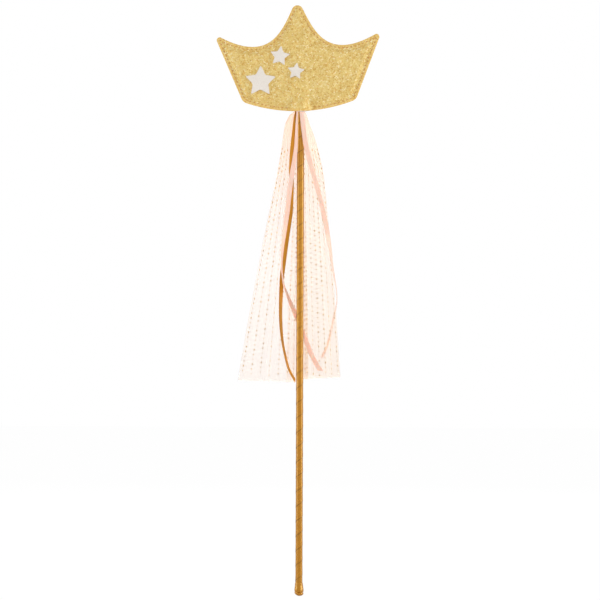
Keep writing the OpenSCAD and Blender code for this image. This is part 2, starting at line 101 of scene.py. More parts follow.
def quads(rows, cols, closed=False):
    """Faces of a grid listed row by row. closed joins the last column to the first."""
    j = np.arange(cols if closed else cols - 1)
    i = np.arange(rows - 1)[:, None] * cols
    a, b = i + j, i + (j + 1) % cols
    return np.stack([a, b, b + cols, a + cols], -1).reshape(-1, 4)


def walls(front, back):
    """A closed shell: a front grid, a back grid turned round, and a strip along each of the four
    edges."""
    rows, cols = front.shape[:2]
    n = rows * cols
    index = np.arange(n).reshape(rows, cols)
    edges = (index[0, ::-1], index[-1], index[:, 0], index[::-1, -1])
    strips = [np.stack([e[:-1], e[1:], e[1:] + n, e[:-1] + n], -1) for e in edges]
    faces = np.concatenate([quads(rows, cols), quads(rows, cols)[:, ::-1] + n, *strips])
    return np.concatenate([front.reshape(-1, 3), back.reshape(-1, 3)]), faces.tolist()


def thick_sheet(middle, thickness):
    """A sheet round a grid: points move half the thickness both ways along its normal, which is the
    cross product of its differences."""
    normal = unit(np.cross(np.gradient(middle, axis=1), np.gradient(middle, axis=0)))
    return walls(middle + normal * thickness / 2, middle - normal * thickness / 2)


def tube(rings):
    """A closed tube through rings that run anticlockwise about its direction, with flat ends."""
    steps, sides = rings.shape[:2]
    ends = [list(range(sides))[::-1], list(range((steps - 1) * sides, steps * sides))]
    return rings.reshape(-1, 3), quads(steps, sides, closed=True).tolist() + ends


def many_tubes(rings):
    """One mesh of many like tubes: the faces of the first, moved on by its number of points for each
    copy."""
    points, faces = tube(rings[0])
    starts = (np.arange(len(rings)) * len(points)).tolist()
    return rings.reshape(-1, 3), [[i + start for i in face] for start in starts for face in faces]


def make_piece(name, shape, material, uv=None, values=None, crease=40):
    """A mesh object at the origin. uv and values hold one entry for each point, in millimetres."""
    points, faces = shape
    mesh = bpy.data.meshes.new(name)
    mesh.from_pydata((np.asarray(points) * MM).tolist(), [], faces)
    corner = np.zeros(len(mesh.loops), int)
    mesh.loops.foreach_get("vertex_index", corner)
    if uv is not None:
        layer = mesh.uv_layers.new(name="flat_mm")
        layer.uv.foreach_set("vector", np.asarray(uv, np.float32)[corner].ravel())
    for key, value in (values or {}).items():
        layer = mesh.attributes.new(key, "FLOAT", "POINT")
        layer.data.foreach_set("value", np.asarray(value, np.float32))
    mesh.shade_smooth()
    mesh.set_sharp_from_angle(angle=np.radians(crease))
    mesh.materials.append(material)
    made = bpy.data.objects.new(name, mesh)
    bpy.context.scene.collection.objects.link(made)
    print(f"{name}: {len(points)} points, {len(faces)} faces")
    return made


# %% [markdown]
# Materials are small trees of nodes. One function adds a node with its settings and links, and
# colours are written as sRGB hex, the way they are read off a swatch, then turned to linear.

# %% Colours and nodes


def linear(colour):
    """Hex sRGB to linear RGBA: c / 12.92 up to 0.04045, and ((c + 0.055) / 1.055) ^ 2.4 above."""
    c = np.array([int(colour[i:i + 2], 16) for i in (1, 3, 5)]) / 255
    return (*np.where(c <= 0.04045, c / 12.92, ((c + 0.055) / 1.055) ** 2.4).tolist(), 1.0)


def node(tree, kind, inputs=None, made=None, stops=(), **fields):
    """Adds a node, or takes one that is made. Sets its fields, and the (place, hex) stops of a ramp. An
    input is set to a value or linked to a socket, and a node stands for its first output."""
    made = made or tree.nodes.new(kind)
    for field, value in fields.items():
        setattr(made, field, value)
    for key, value in (inputs or {}).items():
        if isinstance(value, bpy.types.Node):
            value = value.outputs[0]
        if isinstance(value, bpy.types.NodeSocket):
            tree.links.new(value, made.inputs[key])
        else:
            made.inputs[key].default_value = value
    if stops:
        elements = made.color_ramp.elements
        while len(elements) < len(stops):
            elements.new(0.5)
        for element, (place, colour) in zip(elements, stops):
            element.position, element.color = place, linear(colour)
    return made


def new_material(name):
    """A material with its tree and its Principled shader."""
    material = bpy.data.materials.new(name)
    material.use_nodes = True
    return material, material.node_tree, material.node_tree.nodes["Principled BSDF"]


# %% [markdown]
# The photograph looks straight at the front of the crown with a long lens, from the height of the
# wand's middle. The wand leans a fifth of a degree in the frame, so the camera rolls by that much.

# %% Camera
view_height = 457.2 * MM
view_centre = (0.0, 225.55 * MM)
camera_distance = 3.0
camera_roll = -0.22
lens_data = bpy.data.cameras.new("camera")
lens_data.sensor_fit = "HORIZONTAL"
lens_data.lens = lens_data.sensor_width * camera_distance / view_height
camera = bpy.data.objects.new("camera", lens_data)
camera.location = (view_centre[0], -camera_distance, view_centre[1])
camera.rotation_euler = (np.pi / 2, np.radians(camera_roll), 0)
bpy.context.scene.collection.objects.link(camera)
bpy.context.scene.camera = camera
bpy.context.scene.view_settings.view_transform = "Standard"
print(f"camera: {lens_data.lens:.0f} mm lens")

# %% [markdown]
# The background is plain white paper. What the camera sees of the world and the floor is white
# by its own colour, and the lamps stay at a level where a colour renders about as it is written.
# A small share of the floor's own shading stays, so that it keeps the wand's shadow.
# Two tall soft lamps stand to the sides, so round satin shows bright flanks and a darker middle.
# A wide one in front, a little above, lights the crown, and one behind shines through the net.

# %% World, floor and lamps


def seen_directly(tree):
    """1 for a ray that shows the background: from the camera, off a gloss, or through something clear."""
    path = node(tree, "ShaderNodeLightPath")
    shown = path.outputs["Is Camera Ray"]
    for other in ("Is Glossy Ray", "Is Transmission Ray"):
        shown = node(tree, "ShaderNodeMath", {0: shown, 1: path.outputs[other]}, operation="MAXIMUM")
    return shown


paper_white = linear("#FFFFFF")
room_light = 0.42
world = bpy.data.worlds.new("white_room")
bpy.context.scene.world = world
world.use_nodes = True
tree = world.node_tree
paper = node(tree, "ShaderNodeBackground", {"Color": paper_white, "Strength": 1.0})
room = node(tree, None, {"Color": paper_white, "Strength": room_light}, made=tree.nodes["Background"])
both = node(tree, "ShaderNodeMixShader", {0: seen_directly(tree), 1: room, 2: paper})
node(tree, None, {"Surface": both}, made=tree.nodes["World Output"])

floor_share, floor_white = 0.955, 1.02
floor_half, floor_z = 4000.0, -0.3
floor_paper, tree, shader = new_material("floor_paper")
node(tree, None, {
    "Base Color": linear("#F4F4F4"), "Roughness": 0.9, "Specular IOR Level": 0.0}, made=shader)
white = node(tree, "ShaderNodeEmission", {"Color": paper_white, "Strength": floor_white})
share = node(tree, "ShaderNodeMath", {0: seen_directly(tree), 1: floor_share}, operation="MULTIPLY")
both = node(tree, "ShaderNodeMixShader", {0: share, 1: shader, 2: white})
node(tree, None, {"Surface": both}, made=tree.nodes["Material Output"])
floor_sides = (-floor_half, floor_half)
floor_corners = [(x, y, floor_z) for y in floor_sides for x in floor_sides]
floor = make_piece("floor", (floor_corners, quads(2, 2).tolist()), floor_paper)
floor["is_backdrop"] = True

lamp_target = np.array([0.0, 0.0, 0.27])
for name, place, size, power in (
    ("left_softbox", (-1.1, -0.3, 0.42), (0.5, 0.8), 6.1),
    ("right_softbox", (1.1, -0.3, 0.42), (0.5, 0.8), 7.3),
    ("top_softbox", (0.0, -1.45, 0.9), (1.0, 0.6), 6.5),
    ("back_softbox", (0.3, 1.5, 0.8), (1.0, 0.7), 6.5),
):
    lamp = bpy.data.lights.new(name, "AREA")
    lamp.shape, lamp.size, lamp.size_y, lamp.energy = "RECTANGLE", *size, power
    holder = bpy.data.objects.new(name, lamp)
    holder.location = place
    aim = unit(lamp_target - place)
    holder.rotation_euler = (np.arccos(-aim[2]), 0, np.arctan2(-aim[0], aim[1]))
    bpy.context.scene.collection.objects.link(holder)

# %% [markdown]
# Satin ribbon is polyester woven so that long threads float on its face. The floats run along the
# ribbon, reflect in streaks, and give way to a tight dull selvedge at both edges. On the wound
# ribbon the edge colour is much darker: painted shade along the step where each turn lies on the
# one below. Real threads are about 0.1 mm apart; they are drawn 0.35 mm apart, since finer ones
# wouldn't show, in streaks of 0.7 by 18 mm. The pale pink ribbon is thin enough to let some light
# through, so it glows a little where it hangs in shade.

# %% Satin ribbon
narrow_w, narrow_t, wound_w = 3.5, 0.3, 10.0
streak_w, streak_l, thread_pitch = 0.7, 18.0, 0.35
selvedge_blur = 0.1


def satin(name, dark, light, edge, width, selvedge_w, roughness, gloss, tint, glow=0.0):
    """Satin ribbon of a width in mm: streaks along the length, thread ribs as bump and a dull
    selvedge in the edge colour, which on the wound ribbon is dark painted shade of the step. The ribs
    are a sine of the place across the ribbon."""
    material, tree, shader = new_material(name)
    flat = node(tree, "ShaderNodeUVMap", uv_map="flat_mm")
    across = node(tree, "ShaderNodeSeparateXYZ", {0: flat})
    stretch = node(tree, "ShaderNodeMapping", {"Vector": flat, "Scale": (1 / streak_w, 1 / streak_l, 1)})
    streaks = node(tree, "ShaderNodeTexNoise", {
        "Vector": stretch, "Scale": 1.0, "Detail": 4.0, "Roughness": 0.6}).outputs["Fac"]
    body = node(tree, "ShaderNodeValToRGB", {"Fac": streaks}, stops=[(0.3, dark), (0.7, light)])
    from_middle = node(tree, "ShaderNodeMath", {0: across}, operation="ABSOLUTE")
    body_half = width / 2 - selvedge_w
    # The edge colour fills the selvedge; where it is dark it is painted shade of the wound step.
    selvedge_and_step_shade = node(tree, "ShaderNodeMapRange", {
        "Value": from_middle, "From Min": body_half - selvedge_blur, "From Max": body_half + selvedge_blur,
    }, interpolation_type="SMOOTHSTEP")
    colour = node(tree, "ShaderNodeMix", {0: selvedge_and_step_shade, 6: body, 7: linear(edge)}, data_type="RGBA")
    rib = node(tree, "ShaderNodeMath", {0: across, 1: 2 * np.pi / thread_pitch}, operation="MULTIPLY")
    rib = node(tree, "ShaderNodeMath", {0: rib}, operation="SINE")
    height = node(tree, "ShaderNodeMath", {0: rib, 1: 0.25, 2: streaks}, operation="MULTIPLY_ADD")
    bump = node(tree, "ShaderNodeBump", {"Height": height, "Strength": 0.35, "Distance": 0.06 * MM})
    rough = node(tree, "ShaderNodeMapRange", {
        "Value": streaks, "To Min": roughness - 0.06, "To Max": roughness + 0.08})
    node(tree, None, {
        "Base Color": colour.outputs[2], "Roughness": rough, "Normal": bump, "IOR": 1.6,
        "Specular IOR Level": gloss, "Specular Tint": linear(tint),
        "Sheen Weight": 0.1, "Sheen Roughness": 0.4, "Sheen Tint": linear(light),
        "Subsurface Weight": glow, "Subsurface Radius": (1.0, 0.6, 0.5), "Subsurface Scale": MM,
    }, made=shader)
    return material


gold_satin = satin("gold_satin_narrow", "#BA7716", "#D4922C", "#B97C24", narrow_w, selvedge_w=0.3,
                   roughness=0.32, gloss=0.5, tint="#FFDCA0")
# The wound ribbon's edge colour #6E3C04 is painted shade along the step where each turn's edge lies on the
# turn below.
wound_satin = satin("gold_satin_wound", "#9C5F09", "#AE7015", "#6E3C04", wound_w, selvedge_w=0.5,
                    roughness=0.24, gloss=1.0, tint="#FFDC88")
pink_satin = satin("pink_satin_narrow", "#F7C9B8", "#FBD4C6", "#F5C5B2", narrow_w, selvedge_w=0.3,
                   roughness=0.4, gloss=0.3, tint="#FFE6DA", glow=0.6)

# %% [markdown]
# The three narrow ribbons are flat cords: each hangs from the binding under the crown, twists as it
# falls, and ends in a slanting cut. A profile carried along a smooth path makes them, with the same
# route points as the solids. Each is 3.5 mm wide and starts in the crown's mouth, where it is bound.

# %% Narrow ribbons
hang_z = 368.8
bind_up = 3.0
ring_sides, ring_power = 20, 0.35
ribbon_neck_l, ribbon_cut_l = 45.0, 5.0
bound_x, bound_y = 0.9, 0.93


def spline(points, steps):
    """A Catmull-Rom curve: each span is the cubic that leaves its ends along the chord of their
    neighbours."""
    p = np.asarray(points, float)
    p = np.concatenate([2 * p[:1] - p[1:2], p, 2 * p[-1:] - p[-2:-1]])
    a, b, c, d = p[:-3], p[1:-2], p[2:-1], p[3:]
    t = np.linspace(0, 1, steps, endpoint=False)[:, None, None]
    curve = (2 * b + (c - a) * t + (2 * a - 5 * b + 4 * c - d) * t**2 + (3 * b - a - 3 * c + d) * t**3) / 2
    return np.concatenate([curve.transpose(1, 0, 2).reshape(-1, p.shape[1]), p[-2:-1]])


def signed_power(v, power):
    """The power of a value's size, with the value's sign."""
    return np.sign(v) * np.abs(v) ** power


def ribbon(name, route, neck_share, slant, material):
    """A flattened ring, |u|^(2/p) + |w|^(2/p) = 1 in half widths, carried along a route of (x, y,
    drop, twist in degrees). The bound top is drawn in to bound_x and bound_y of the first point,
    the neck has a share of the width, and the far end is cut aslant."""
    top = [route[0][0] * bound_x, route[0][1] * bound_y, -bind_up, route[0][3]]
    way = spline([top, *route], 12)
    path = np.column_stack([way[:, :2], hang_z - way[:, 2]])
    run = unit(np.gradient(path, axis=0))
    front = unit(np.array([0, -1, 0]) + run[:, 1:2] * run)
    across = np.cross(run, front)
    turn = np.radians(way[:, 3:])
    wide = across * np.cos(turn) + front * np.sin(turn)
    thick = front * np.cos(turn) - across * np.sin(turn)
    half_w = narrow_w / 2 * mix(neck_share, 1, smooth(way[:, 2] / ribbon_neck_l))[:, None]
    a = -2 * np.pi * (np.arange(ring_sides) + 0.5) / ring_sides
    u = half_w * signed_power(np.cos(a), ring_power)
    w = narrow_t / 2 * signed_power(np.sin(a), ring_power)
    along = np.concatenate([[0], np.cumsum(np.linalg.norm(np.diff(path, axis=0), axis=1))])
    cut = slant * u * smooth((along - along[-1] + ribbon_cut_l) / ribbon_cut_l)[:, None]
    rings = path[:, None] + wide[:, None] * u[..., None] + thick[:, None] * w[..., None]
    rings = rings + run[:, None] * cut[..., None]
    uv = np.stack([u, along[:, None] + cut], -1).reshape(-1, 2)
    made = make_piece(name, tube(rings), material, uv)
    print(f"  {name} is {along[-1]:.1f} mm long")
    return made, path, float(along[-1])


pink_left_route = [
    [-2.6, -3.4, 0, 0], [-3, -3.5, 13, 0], [-3.5, -3.5, 26, 0], [-4.9, -3.5, 38, 0], [-6.9, -3.3, 50, 0],
    [-8.5, -3, 63, 0], [-9.9, -2.7, 76, 10], [-11.6, -2.3, 89, 30], [-13.1, -1.8, 101, 50],
    [-14, -1.1, 114, 70], [-13.6, -0.2, 124, 75], [-12, 1, 133, 68], [-9.4, 2.2, 140, 54],
    [-7, 3, 146, 36], [-4.4, 3.5, 152, 16], [-0.1, 3.8, 162.3, 4], [3.5, 3.9, 171.2, 0],
    [5.8, 3.9, 177, 0], [8.1, 3.9, 183, 0], [11.7, 3.9, 190.2, 0], [16, 3.9, 197.3, 0]]
gold_route = [
    [-3.8, -1.6, 0, 60], [-4.6, -1.6, 6, 35], [-5.7, -1.4, 19, 10], [-6.6, -1.1, 31, 0],
    [-7, -0.8, 44, 0], [-6.8, -0.5, 54, 0], [-6.9, -0.2, 63, 0], [-7.4, 0.3, 76, 10],
    [-9, 0.9, 88, 15], [-10.8, 1.8, 101, 20], [-12.4, 3, 114, 20], [-13.7, 4.2, 124, 22],
    [-14.2, 5, 132, 28], [-14.5, 5.6, 139, 36], [-14.8, 6.2, 152, 44], [-14.3, 6.2, 165, 50],
    [-12.9, 6.2, 177, 60], [-10.3, 6.2, 189, 60], [-8, 6.2, 196.6, 60], [-3.4, 6.2, 205, 60]]
pink_right_route = [
    [0.9, -3.4, 0, 0], [2.1, -3.4, 12, 0], [4.2, -3.2, 26, 0], [8.1, -2.6, 41, 0], [12.3, -1.6, 56, 0],
    [16.1, -0.4, 70, 0], [18.8, 0.8, 82, 6], [21.2, 2.2, 94, 28], [23.1, 3.8, 105, 52],
    [24.6, 5.6, 116, 66], [26.2, 7.6, 126, 74], [27.9, 9.6, 136, 78], [28.1, 12.6, 146, 80],
    [26, 13.5, 156, 74], [23.9, 13.5, 167, 68], [20.9, 13.5, 178, 66], [17, 13.5, 187, 66]]

for name, cad_node, route, neck, slant, material, slot, bodies in (
    ("ribbon_pink_left", "pink_ribbon_left", pink_left_route, 0.35, -0.7, pink_satin, "pink_satin",
     ("wand", "left_pink_streamer")),
    ("ribbon_gold", "gold_ribbon", gold_route, 0.6, 0.6, gold_satin, "gold_satin",
     ("wand", "gold_streamer")),
    ("ribbon_pink_right", "pink_ribbon_right", pink_right_route, 1.0, 0.5, pink_satin, "pink_satin",
     ("right_tail", "right_pink_streamer")),
):
    made, path, length = ribbon(name, route, neck, slant, material)
    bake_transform(made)
    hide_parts(cad_node)

# %% [markdown]
# Tulle is a net of nylon threads with six-sided holes of about a millimetre. Two soft tails of it
# hang behind the stick, each gathered to a narrow neck. Light comes through it, so layers look warmer
# and not darker; near the neck a darker, warmer colour is painted for the shade of the bunched
# layers. The net is drawn as crossing threads, a little coarser than life so that it shows.

# %% Tulle
mesh_pitch, mesh_slant, thread_w, soft_w = 0.65, 0.6, 0.06, 0.2
net_patch_mm, tone_l = 5.0, 120.0
gather_l, gather_cover = 70.0, 0.36


def net(name, thread, bunched_shade):
    """Net on the cloth's own millimetres: threads near the lines of two slanting coordinates, clearer
    in between. Below the neck the gathers' added cover fades out and the colour goes from
    bunched_shade, a darker colour painted for the shade of the bunched layers, to thread, both in
    proportion to the drop."""
    material, tree, shader = new_material(name)
    flat = node(tree, "ShaderNodeUVMap", uv_map="flat_mm")
    axes = node(tree, "ShaderNodeSeparateXYZ", {0: flat})
    across, drop = axes.outputs[0], axes.outputs[1]
    threads = []
    for slant in (mesh_slant, -mesh_slant):
        line = node(tree, "ShaderNodeMath", {0: drop, 1: slant, 2: across}, operation="MULTIPLY_ADD")
        cell = node(tree, "ShaderNodeMath", {0: line, 1: mesh_pitch}, operation="PINGPONG")
        threads.append(node(tree, "ShaderNodeMapRange", {
            "Value": cell, "From Min": thread_w, "From Max": soft_w, "To Min": 1.0, "To Max": 0.0,
        }, interpolation_type="SMOOTHSTEP"))
    crossed = node(tree, "ShaderNodeMath", {0: threads[0], 1: threads[1]}, operation="MAXIMUM")
    patch = node(tree, "ShaderNodeTexNoise", {
        "Vector": flat, "Scale": 1 / net_patch_mm, "Detail": 2.0}).outputs["Fac"]
    veil = node(tree, "ShaderNodeMapRange", {"Value": crossed, "To Min": 0.25, "To Max": 0.5})
    thin = node(tree, "ShaderNodeMath", {0: patch, 1: 0.15, 2: veil}, operation="MULTIPLY_ADD")
    gathered = node(tree, "ShaderNodeMapRange", {
        "Value": drop, "From Min": 0.0, "From Max": gather_l, "To Min": gather_cover, "To Max": 0.0})
    alpha = node(tree, "ShaderNodeMath", {0: thin, 1: gathered}, operation="ADD")
    bump = node(tree, "ShaderNodeBump", {"Height": crossed, "Strength": 0.2, "Distance": 0.05 * MM})
    fallen = node(tree, "ShaderNodeMapRange", {"Value": drop, "From Min": 0.0, "From Max": tone_l})
    # The colour at the neck is painted shade of the layered gathers, fading to the thread's own colour down
    # the tail.
    colour = node(tree, "ShaderNodeValToRGB", {"Fac": fallen}, stops=[(0.0, bunched_shade), (1.0, thread)])
    node(tree, None, {
        "Base Color": colour, "Alpha": alpha, "Roughness": 0.7, "Normal": bump,
        "Transmission Weight": 0.88, "IOR": 1.15}, made=shader)
    return material


# The first colour is the thread's own, the second painted shade of the bunched layers near the neck.
left_net = net("tulle_pale_pink", "#FAE8DB", "#CDA489")
right_net = net("tulle_cream_pink", "#F9DFC8", "#D3AE95")
tail_back, pleat_depth, fold_r = 10.0, 1.3, 1.1
cut_top_share, neck_y, net_t = 0.4, 3.36, 0.12
middle_gap, neck_fold_r, neck_fold_w = 0.4, 0.5, 1.2
spread_share, ripples_per_pleat = 0.45, 3.4
neck_slope, hem_slope, back_wave_h = 1.2, 0.35, 0.12
left_edge = [
    (-3, 2.2), (-1, 3.6), (0.5, 6.3), (2.5, 8.6), (5, 10), (10, 12), (20, 13.6), (45, 17.6),
    (100, 28.7), (160, 39.8), (206.3, 47.3)]
right_edge = [
    (-3, 2.2), (-1, 2.8), (0.8, 3.9), (5, 5.6), (10, 7.3), (20, 11), (32, 14.4), (45, 17.2),
    (60, 19.2), (87, 21.8), (123, 25.2), (160, 28), (203.8, 31.1)]


def tail(name, material, side, edge, fold_w, pleats, hem_lift, seed):
    """A gathered tail. Its outer edge is a curve through (drop, half width) points, and its pleats and
    ripples are sines across the cloth. The ripples' slope grows towards the neck, where the same
    cloth has less room. The inner edge turns in a half circle and comes back behind as a fold."""
    length = edge[-1][0]
    steps = np.concatenate([[-bind_up, -bind_up / 2], length * np.linspace(0, 1, 130) ** 1.4])
    drop = steps[::-1, None]
    down = np.clip(drop / length, 0, 1)
    spread = smooth(down / spread_share)
    curve = spline(edge, 8)
    outer = -np.interp(drop, curve[:, 0], curve[:, 1])
    r = mix(neck_fold_r, fold_r, smooth(down))
    y = mix(neck_y, tail_back, spread)
    inner = -middle_gap - r
    q = np.linspace(0, 1, 150)
    pleat = pleat_depth * spread * smooth((1 - q) / 0.25) * cycles(pleats * q)
    count = ripples_per_pleat * pleats
    slope = mix(neck_slope, hem_slope, smooth(down))
    phase = q * count + 0.25 * cycles(1.7 * q + seed) + 0.12 * cycles(down * 1.5 + 3 * q + seed)
    uneven = 0.7 + 0.3 * cycles(2.3 * q + seed)
    ripple = slope * (inner - outer) / (2 * np.pi * count) * cycles(phase) * uneven
    front = np.stack([mix(outer, inner, q), y + pleat + ripple * smooth((1 - q) / 0.06)], -1)
    a = np.linspace(-np.pi / 2, np.pi / 2, 11)[1:]
    turn = np.stack([inner + r * np.cos(a), y + r + r * np.sin(a)], -1)
    b = np.linspace(0, 1, 31)[1:]
    back_w = mix(neck_fold_w, fold_w, smooth(down))
    back_wave = back_wave_h * smooth(down * 3) * cycles(2.5 * b) * b
    back = np.stack([inner - back_w * b, y + 2 * r + back_wave], -1)
    plan = np.concatenate([front, turn, back], 1)
    share = np.concatenate([1 - q, np.zeros(len(a) + len(b))])
    z = np.broadcast_to(hang_z - drop + hem_lift * share * down**3, plan.shape[:2])
    middle = np.concatenate([plan, z[..., None]], -1)
    hem = np.concatenate([[0], np.cumsum(np.linalg.norm(np.diff(plan[0], axis=0), axis=1))])
    if side > 0:
        middle, hem = middle[:, ::-1] * np.array([-1, 1, 1]), hem[::-1]
    uv = np.stack(np.broadcast_arrays(hem * mix(cut_top_share, 1, down), drop), -1).reshape(-1, 2)
    made = make_piece(name, thick_sheet(middle, net_t), material, np.tile(uv, (2, 1)), crease=180)
    print(f"  {name} is cut {hem.max():.1f} mm wide and {length + bind_up:.1f} mm long")
    return made, middle, hem, drop[:, 0]


# %% [markdown]
# Dotted lines of gold glitter are printed along the net, so they run together towards the neck.
# The dots are thick enough to feel, so each is a small flat shape on the cloth. A dot's place comes
# from the net's own grid, by the width and length at which it was printed on the flat cloth.
# The print starts 28 mm below the tie, because hardly a dot shows among the gathers above.

# %% Printed dots
dot_pitch, dot_half_w, dot_half_l, dot_t = 3.7, 0.5, 0.85, 0.12
print_start, hem_gap, line_shift, dot_sunk = 28.0, 1.5, 0.62, 0.02


def at_places(grid, rows, cols):
    """Values of a grid between its points: straight mixes along the rows, then along the columns."""
    i = np.clip(rows.astype(int), 0, grid.shape[0] - 2)
    j = np.clip(cols.astype(int), 0, grid.shape[1] - 2)
    s, t = (rows - i)[..., None], (cols - j)[..., None]
    return mix(mix(grid[i, j], grid[i + 1, j], s), mix(grid[i, j + 1], grid[i + 1, j + 1], s), t)


def printed_dots(name, middle, hem, drop, line_pitch, material):
    """Six-sided flakes on lines along the cloth: half a width across and half a length along, on the
    net's front side. Each line is shifted by a part of a pitch from the line before it, so the dots
    stand in no rows, and a sine of the dot's number makes some smaller, as where a print is worn."""
    lines = np.arange(line_pitch / 3, hem.max() - 1, line_pitch)
    shift = dot_pitch * (line_shift * np.arange(len(lines)) % 1)
    steps = np.arange(print_start, drop.max() - hem_gap - dot_pitch, dot_pitch)[:, None] + shift
    order = np.argsort(hem)
    cols = np.interp(lines, hem[order], order)
    rows = np.interp(steps, drop[::-1], np.arange(len(drop))[::-1])
    wide, up = unit(np.gradient(middle, axis=1)), unit(np.gradient(middle, axis=0))
    out = unit(np.cross(wide, up))
    place, wide, up, out = (at_places(g, rows, cols).reshape(-1, 1, 1, 3) for g in (middle, wide, up, out))
    a = 2 * np.pi * np.arange(6)[:, None] / 6
    worn = 0.8 + 0.2 * np.sin(7.3 * np.arange(len(place)))[:, None, None, None]
    flake = worn * (wide * dot_half_w * np.cos(a) + up * dot_half_l * np.sin(a))
    rise = np.array([0.0, dot_t])[:, None, None]
    rings = place + flake * (1 - 2 * rise) + out * (net_t / 2 - dot_sunk + rise)
    return make_piece(name, many_tubes(rings), material, crease=60)


def dot_glitter(name):
    """Fine gold grains in clear glue: noise of 0.4 mm for colour and bump."""
    material, tree, shader = new_material(name)
    place = node(tree, "ShaderNodeTexCoord").outputs["Object"]
    grain = node(tree, "ShaderNodeTexNoise", {
        "Vector": place, "Scale": 1 / (0.4 * MM), "Detail": 2.0}).outputs["Fac"]
    colour = node(tree, "ShaderNodeValToRGB", {"Fac": grain}, stops=[(0.35, "#AD8034"), (0.65, "#D6B068")])
    bump = node(tree, "ShaderNodeBump", {"Height": grain, "Strength": 0.4, "Distance": 0.05 * MM})
    rough = node(tree, "ShaderNodeMapRange", {"Value": grain, "To Min": 0.3, "To Max": 0.55})
    node(tree, None, {"Base Color": colour, "Roughness": rough, "Normal": bump}, made=shader)
    return material


gold_dots = dot_glitter("glitter_print_gold")
for name, cad_node, material, side, sizes, body, pivot, line_pitch in (
    ("net_left", "left_tulle", left_net, -1, (left_edge, 9, 3, 1.1, 0.2), "left_tail", -2.2, 7.6),
    ("net_right", "right_tulle", right_net, 1, (right_edge, 5, 2, 1.4, 0.65), "right_tail", 3.1, 5.2),
):
    made, middle, hem, drop = tail(name, material, side, *sizes)
    dots = printed_dots(name.replace("net", "glitter_dots"), middle, hem, drop, line_pitch, gold_dots)
    for piece, slot in ((made, "pink_net"), (dots, "gold_glitter")):
        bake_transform(piece)
    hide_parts(cad_node)

# %% [markdown]
# The stick is wound from the butt upwards with a 10 mm satin ribbon. Each turn's lower edge lies on
# the turn below, so a thin step runs round the stick as a helix. One long strip makes it: the angle
# goes along the strip, and the radius falls from the outer edge to the edge that is covered.

# %% Wound ribbon
wrap_pitch, wrap_lap = 11.2, 0.7
wrap_start = np.radians(142)
wrap_low, wrap_high = 7.5, 377.0
lower_r, upper_r, strip_t = 2.76, 2.65, 0.08
turn_l = 20.6
# The first turn starts below the butt, and wrap_low cuts off what would show there.
first_z = -1.46 + wrap_pitch / 12


def wound_ribbon():
    """A helical strip: z rises by the pitch each turn, and the radius falls from lower_r at the lower
    edge to upper_r at the upper, with a little slack between. The strip is cut level at both ends."""
    band = wrap_pitch + wrap_lap
    turns = (wrap_high - first_z) / wrap_pitch
    k = np.linspace(0, turns, int(turns * 40))[:, None]
    low = first_z - wrap_lap + wrap_pitch * k
    v = np.linspace(0, 1, 13)
    z = mix(np.clip(low, wrap_low, wrap_high), np.clip(low + band, wrap_low, wrap_high), v)
    keep = (z[:, -1] - z[:, 0]) > 0.2
    share = (z - low) / band
    slack = 0.012 * cycles(1.37 * k + 0.8 * share) + 0.008 * cycles(3.1 * k - 1.6 * share)
    radius = mix(lower_r, upper_r, smooth(share / 0.55)) + slack * np.sin(np.pi * np.clip(share, 0, 1))
    angle = wrap_start + 2 * np.pi * k
    grid = np.stack(np.broadcast_arrays(radius * np.cos(angle), radius * np.sin(angle), z), -1)[keep]
    uv = np.stack(np.broadcast_arrays(wound_w * (share - 0.5), k * turn_l), -1)[keep]
    return grid.transpose(1, 0, 2), uv.transpose(1, 0, 2)


strip, strip_uv = wound_ribbon()
strip_uv = np.tile(strip_uv.reshape(-1, 2), (2, 1))
# The satin's dark edge colour paints the shade along the step.
wound = make_piece("wound_ribbon", thick_sheet(strip, strip_t), wound_satin, strip_uv, crease=60)
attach(wound, "wand")
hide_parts("stick_wrap")

# %% [markdown]
# At the butt the ribbon is folded over the end of the stick and glued. The fold bulges, leans a
# little to one side, and shows a lip where its end is tucked under. A profile turned about the
# stick makes it, with pleats and a tilt that grow towards the end.

# %% Folded butt end
fold_profile = np.array([
    [2.9, 10.2], [3.02, 9.2], [3.1, 8], [3.28, 6.6], [3.46, 5.2], [3.53, 4.2], [3.48, 3.3], [3.3, 2.8],
    [3.14, 2.48], [3.38, 2.12], [3.46, 1.65], [3.32, 1.1], [2.95, 0.6], [2.4, 0.25], [1.7, 0.12],
    [0.9, 0.2], [0.25, 0.3]])
lean_left, lean_right, fold_low = 0.36, 0.1, 0.02
tuck_z, tuck_angle, tuck_depth = 2.7, 1.5 * np.pi + 0.1, 0.5
fold_uv_half_w, fold_uv_l = 4.4, 6.4


def butt_fold():
    """r and z from a curve through the profile, with pleats as sines of the angle and a tuck in front.
    Near the end a point rises by a share of its distance from the middle, more on the left."""
    profile = spline(fold_profile, 5)
    angle = np.linspace(0, 2 * np.pi, 73)[:-1]
    r, z = profile[:, :1], profile[:, 1:]
    near_end = smooth((5.5 - z) / 4)
    pleats = 0.05 * np.sin(9 * angle + 0.8) + 0.035 * np.sin(5 * angle + 2)
    radius = r + pleats * smooth(r / 2.5) * smooth((9.5 - z) / 3)
    radius = radius - tuck_depth * bell(z, tuck_z, 0.45) * bell(angle, tuck_angle, 0.3)
    x, y = radius * np.cos(angle), radius * np.sin(angle)
    lean = lean_left * np.maximum(-x, 0) + lean_right * np.maximum(x, 0)
    return np.stack([x, y, np.maximum(z + lean * near_end * smooth(r / 2.6), fold_low)], -1)


